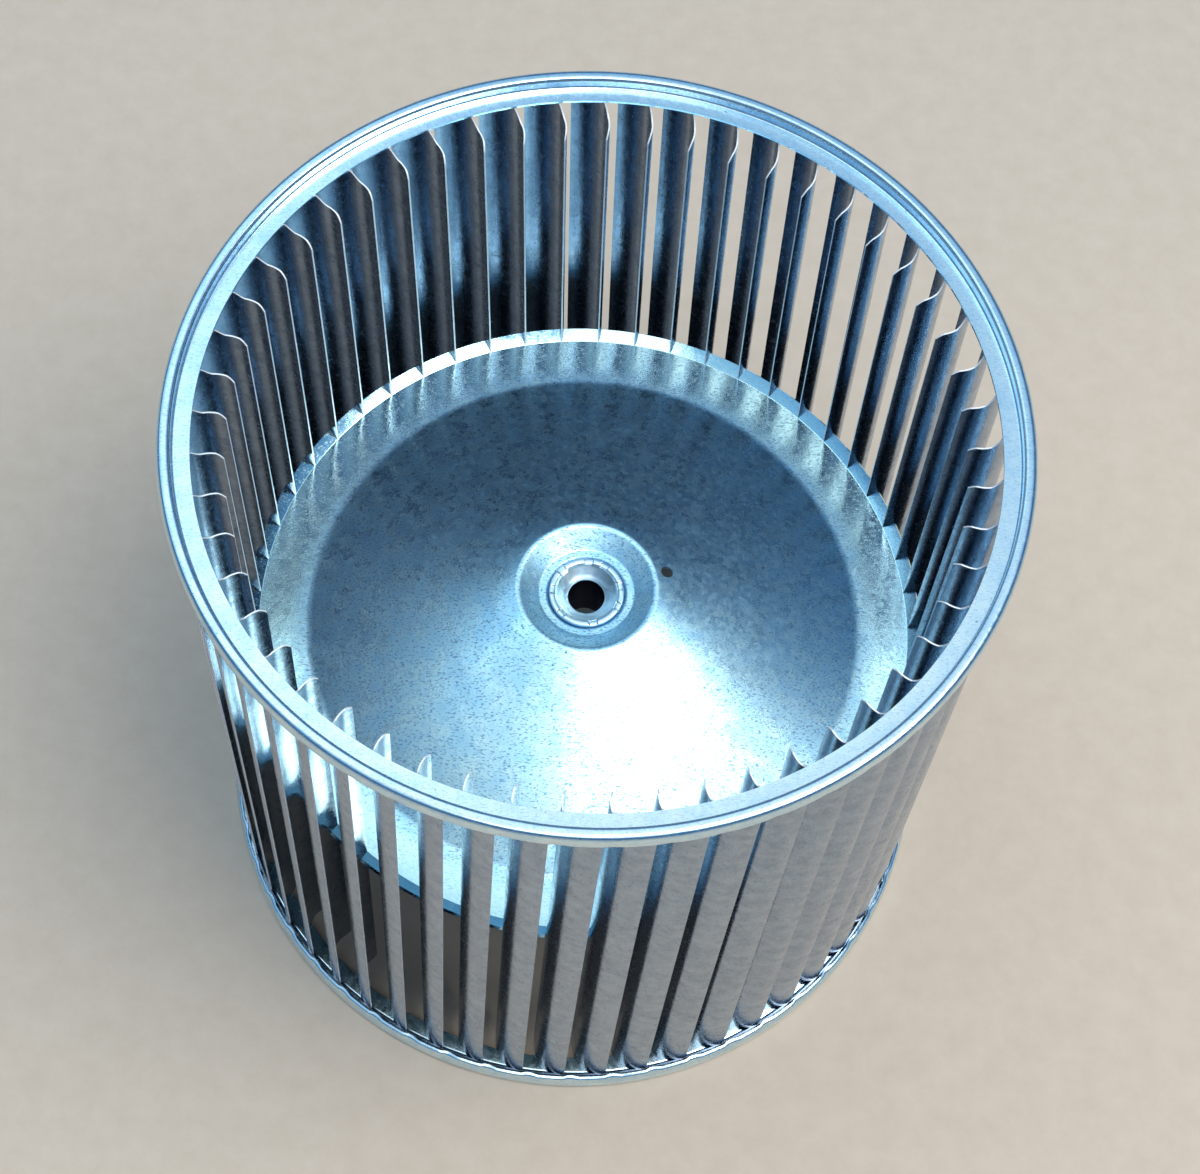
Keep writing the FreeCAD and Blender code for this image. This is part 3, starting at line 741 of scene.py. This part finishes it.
for vert in disc.verts:
    radius, angle = polar(vert)
    beyond = radius - INLET
    if beyond < RIM_SLACK / 2:
        continue
    centres = [face.calc_center_median() for face in vert.link_faces]
    middle = sum(centres, Vector()) / len(centres)
    past = ((atan2(middle.y, middle.x) - SLOT_ANGLE) / PITCH) % 1
    share = nearest_slot(angle) % 1
    if abs(nearest_slot(angle)) < ON_SLOT:
        share = 0.0 if past < 0.5 else 1.0
    hollow = atan2(SLOT_HOLLOW_GAP - beyond * tan(BLADE_LEAN), radius)
    back = atan2(SLOT_BACK_GAP + beyond * tan(BLADE_LEAN), radius)
    drawn_apart = hollow + share * (PITCH - hollow - back)
    set_polar(vert, radius, angle - share * PITCH + drawn_apart)
thicken(disc, DISC_SHEET)
disc_piece = make_piece("centre_disc_pressed", disc, [disc_zinc], "centre_disc")
print("slots:", len(slot_edges))

# %% [markdown]
# A small round hole through the cone locates the disc in its press tool. One hole in a fine round
# mesh is a plain job for a Boolean modifier, which is applied at once so that its cutter can go.

# %% Punch the tooling hole
TOOL_HOLE_RADIUS = 2.1 * MM
TOOL_HOLE_PLACE = (28.7 * MM, radians(17.6))
PUNCH_HEIGHT = 155 * MM
PUNCH_LENGTH = 16 * MM


def punch(piece, cutter):
    """Cuts a bmesh out of a piece for good."""
    mesh = bpy.data.meshes.new("cutter")
    cutter.to_mesh(mesh)
    cutter.free()
    tool = bpy.data.objects.new("cutter", mesh)
    bpy.context.scene.collection.objects.link(tool)
    cut = piece.modifiers.new("cut", "BOOLEAN")
    cut.operation = "DIFFERENCE"
    cut.solver = "EXACT"
    cut.object = tool
    whole = bpy.context.evaluated_depsgraph_get()
    done = bpy.data.meshes.new_from_object(piece.evaluated_get(whole))
    piece.modifiers.clear()
    done.name = piece.data.name
    piece.data = done
    bpy.data.objects.remove(tool)
    smooth_and_crease(done)


radius, angle = TOOL_HOLE_PLACE
punch_bm = bmesh.new()
stand = Matrix.Translation((radius * cos(angle), radius * sin(angle), PUNCH_HEIGHT))
bmesh.ops.create_cone(punch_bm, cap_ends=True, segments=40, radius1=TOOL_HOLE_RADIUS,
                      radius2=TOOL_HOLE_RADIUS, depth=PUNCH_LENGTH, matrix=stand)
punch(disc_piece, punch_bm)
print("disc:", len(disc_piece.data.polygons), "faces")

# %% [markdown]
# ## Hub
#
# The hub is turned from bar: a barrel under the disc, a spigot through it, and a lip that is staked
# over the sheet with a ring of punch marks. It could be stacked from cylinders, but then no bend
# would be rounded. Its whole section is one closed outline instead, and is spun as a solid.

# %% Turn the hub
HUB_STEPS = 288
BORE = 6.35 * MM
BARREL = hub_high[0]
SHOULDER = SEAT_HEIGHT - DIMPLE - DISC_SHEET
LIP_FOOT = SEAT_HEIGHT - DIMPLE + 0.05 * MM
LIP_TOP = SEAT_HEIGHT + 0.8 * MM
LIP_MIDDLE = 12.1 * MM
MARKS = (90, 62, 16, -22, -75, -133, 180, 140)
MARK_WIDTH = 3.4 * MM
MARK_DEPTH = 0.45 * MM
MARK_SPREAD = 0.7
MARK_WALL = 4
HUB_BEND_SEGMENTS = 4


def closed_section(bm, corners):
    """A closed outline in the XZ plane, with its bends rounded."""
    verts = [bm.verts.new((radius, 0, height)) for radius, height, _ in corners]
    for here, there in zip(verts, verts[1:] + verts[:1]):
        bm.edges.new((here, there))
    for vert, (_, _, bend) in zip(verts, corners):
        if bend:
            round_corner(bm, vert, bend, HUB_BEND_SEGMENTS)


def make_marks(bm):
    """Presses the punch marks into the staked lip: each lowers the lip and spreads it both ways."""
    for vert in bm.verts:
        radius, angle = polar(vert)
        if vert.co.z < SEAT_HEIGHT + 0.3 * MM:
            continue
        for mark in MARKS:
            off = (angle - radians(mark) + pi) % (2 * pi) - pi
            pressed = max(0.0, 1 - abs(off) * radius / (MARK_WIDTH / 2))
            pressed = min(1.0, MARK_WALL * pressed)
            vert.co.z -= MARK_DEPTH * pressed
            set_polar(vert, radius + MARK_SPREAD * pressed * (radius - LIP_MIDDLE), angle)


hub = bmesh.new()
closed_section(hub, (
    (BORE, hub_low[2] + 1.0 * MM, 0),
    (BORE + 1.0 * MM, hub_low[2], 0),
    (BARREL, hub_low[2], 0.8 * MM),
    (BARREL, SHOULDER, 0),
    (HOLE_RADIUS - 0.1 * MM, SHOULDER, 0),
    (HOLE_RADIUS - 0.1 * MM, LIP_FOOT, 0),
    (13.2 * MM, LIP_FOOT, 0.2 * MM),
    (13.0 * MM, LIP_TOP, 0.4 * MM),
    (11.3 * MM, LIP_TOP, 0.5 * MM),
    (10.6 * MM, SEAT_HEIGHT - 0.1 * MM, 0.3 * MM),
    (BORE + 1.6 * MM, 149.9 * MM, 0.5 * MM),
    (BORE, 148.9 * MM, 0.3 * MM),
))
spin_round(hub, HUB_STEPS)
bmesh.ops.recalc_face_normals(hub, faces=hub.faces[:])
make_marks(hub)
make_piece("hub_turned", hub, [hub_zinc], "hub")

# %% [markdown]
# The set screw clamps the hub to its shaft. It is a small plain part that hides under the disc, so
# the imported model's own node stays and only gets the hub's plating.

# %% Finish the set screw
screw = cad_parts["set_screw"]
for screw_slot in screw.material_slots:
    screw_slot.link = "OBJECT"
    screw_slot.material = hub_zinc
print("set screw:", [screw_slot.material.name for screw_slot in screw.material_slots])

# %% [markdown]
# ## Studio
#
# Bare metal mostly shows what it mirrors, so the light is chosen for its reflections. One broad
# soft light stands above and to the right, where the cone mirrors it below the hub. A cool one on
# the left and behind fills that side, and a small one in front lights what faces the camera. The
# surround is pale overhead, dark blue halfway down and a little lighter again towards the horizon,
# which gives the sheet its light and dark sides. A picture of a room could be mirrored instead, but
# this needs no file.

# %% Lay the floor
FLOOR_HALF = 20.0
DARK_PAPER = (0.60, 0.505, 0.405, 1)
LIGHT_PAPER = (0.655, 0.56, 0.46, 1)
SPECKLES_PER_METRE = 90.0
PAPER_ROUGHNESS = 0.9

floor_bm = bmesh.new()
bmesh.ops.create_grid(floor_bm, x_segments=1, y_segments=1, size=FLOOR_HALF)
floor_mesh = bpy.data.meshes.new("floor")
floor_bm.to_mesh(floor_mesh)
floor_bm.free()
floor = bpy.data.objects.new("floor", floor_mesh)
bpy.context.scene.collection.objects.link(floor)

paper = bpy.data.materials.new("floor_paper")
paper.use_nodes = True
tree = paper.node_tree
shader = tree.nodes["Principled BSDF"]
place = add_node(tree, "TexCoord").outputs["Object"]
speckle = add_node(tree, "TexNoise",
                   {"Vector": place, "Scale": SPECKLES_PER_METRE, "Detail": 6.0, "Roughness": 0.7})
speckle = scale_to(tree, speckle.outputs[0], 0.3, 0.7)
shade = mix_colours(tree, speckle, DARK_PAPER, LIGHT_PAPER)
tree.links.new(shade, shader.inputs["Base Color"])
shader.inputs["Roughness"].default_value = PAPER_ROUGHNESS
floor_mesh.materials.append(paper)
print(f"floor: {2 * FLOOR_HALF:.0f} m wide")

# %% Hang the lights
WARM = (1.0, 0.94, 0.86)
COOL = (0.62, 0.84, 1.0)


def soft_light(name, place, size, power, colour=(1, 1, 1)):
    """A round soft light that looks at the middle of the wheel."""
    data = bpy.data.lights.new(name, "AREA")
    data.shape = "DISK"
    data.size = size
    data.energy = power
    data.color = colour
    light = bpy.data.objects.new(name, data)
    towards = Vector((0, 0, WIDTH / 2)) - Vector(place)
    aimed = towards.to_track_quat("-Z", "Y").to_matrix().to_4x4()
    light.matrix_world = Matrix.Translation(place) @ aimed
    bpy.context.scene.collection.objects.link(light)
    print(f"{name}: {power / (pi * pi * size * size / 4):.1f} W per square metre and steradian")


soft_light("key", (0.66, -0.30, 1.72), 1.2, 22.0, WARM)
soft_light("left", (-0.75, 0.52, 1.42), 1.5, 3.4, COOL)
soft_light("front", (-0.10, -1.10, 1.90), 0.8, 3.0, WARM)

# %% Colour the surround
BANDS = (
    (0.0, (0.50, 0.58, 0.68, 1)),
    (0.14, (0.20, 0.27, 0.36, 1)),
    (0.35, (0.04, 0.09, 0.18, 1)),
    (0.60, (0.08, 0.19, 0.36, 1)),
    (0.70, (0.20, 0.40, 0.66, 1)),
    (0.84, (0.42, 0.62, 0.82, 1)),
    (0.90, (0.88, 0.98, 1.03, 1)),
    (1.0, (0.92, 1.0, 1.04, 1)),
)

world = bpy.data.worlds.new("surround")
bpy.context.scene.world = world
world.use_nodes = True
sky = world.node_tree
towards = add_node(sky, "TexCoord").outputs["Generated"]
height = add_node(sky, "SeparateXYZ", {"Vector": towards}).outputs[2]
bands = add_node(sky, "ValToRGB", {"Fac": height})
ramp = bands.color_ramp
ramp.elements[0].position, ramp.elements[0].color = BANDS[0]
ramp.elements[1].position, ramp.elements[1].color = BANDS[-1]
for place, colour in BANDS[1:-1]:
    ramp.elements.new(place).color = colour
sky.links.new(bands.outputs["Color"], sky.nodes["Background"].inputs["Color"])
bpy.context.scene.view_settings.view_transform = "Standard"
print("surround:", len(ramp.elements), "bands from the horizon to overhead")
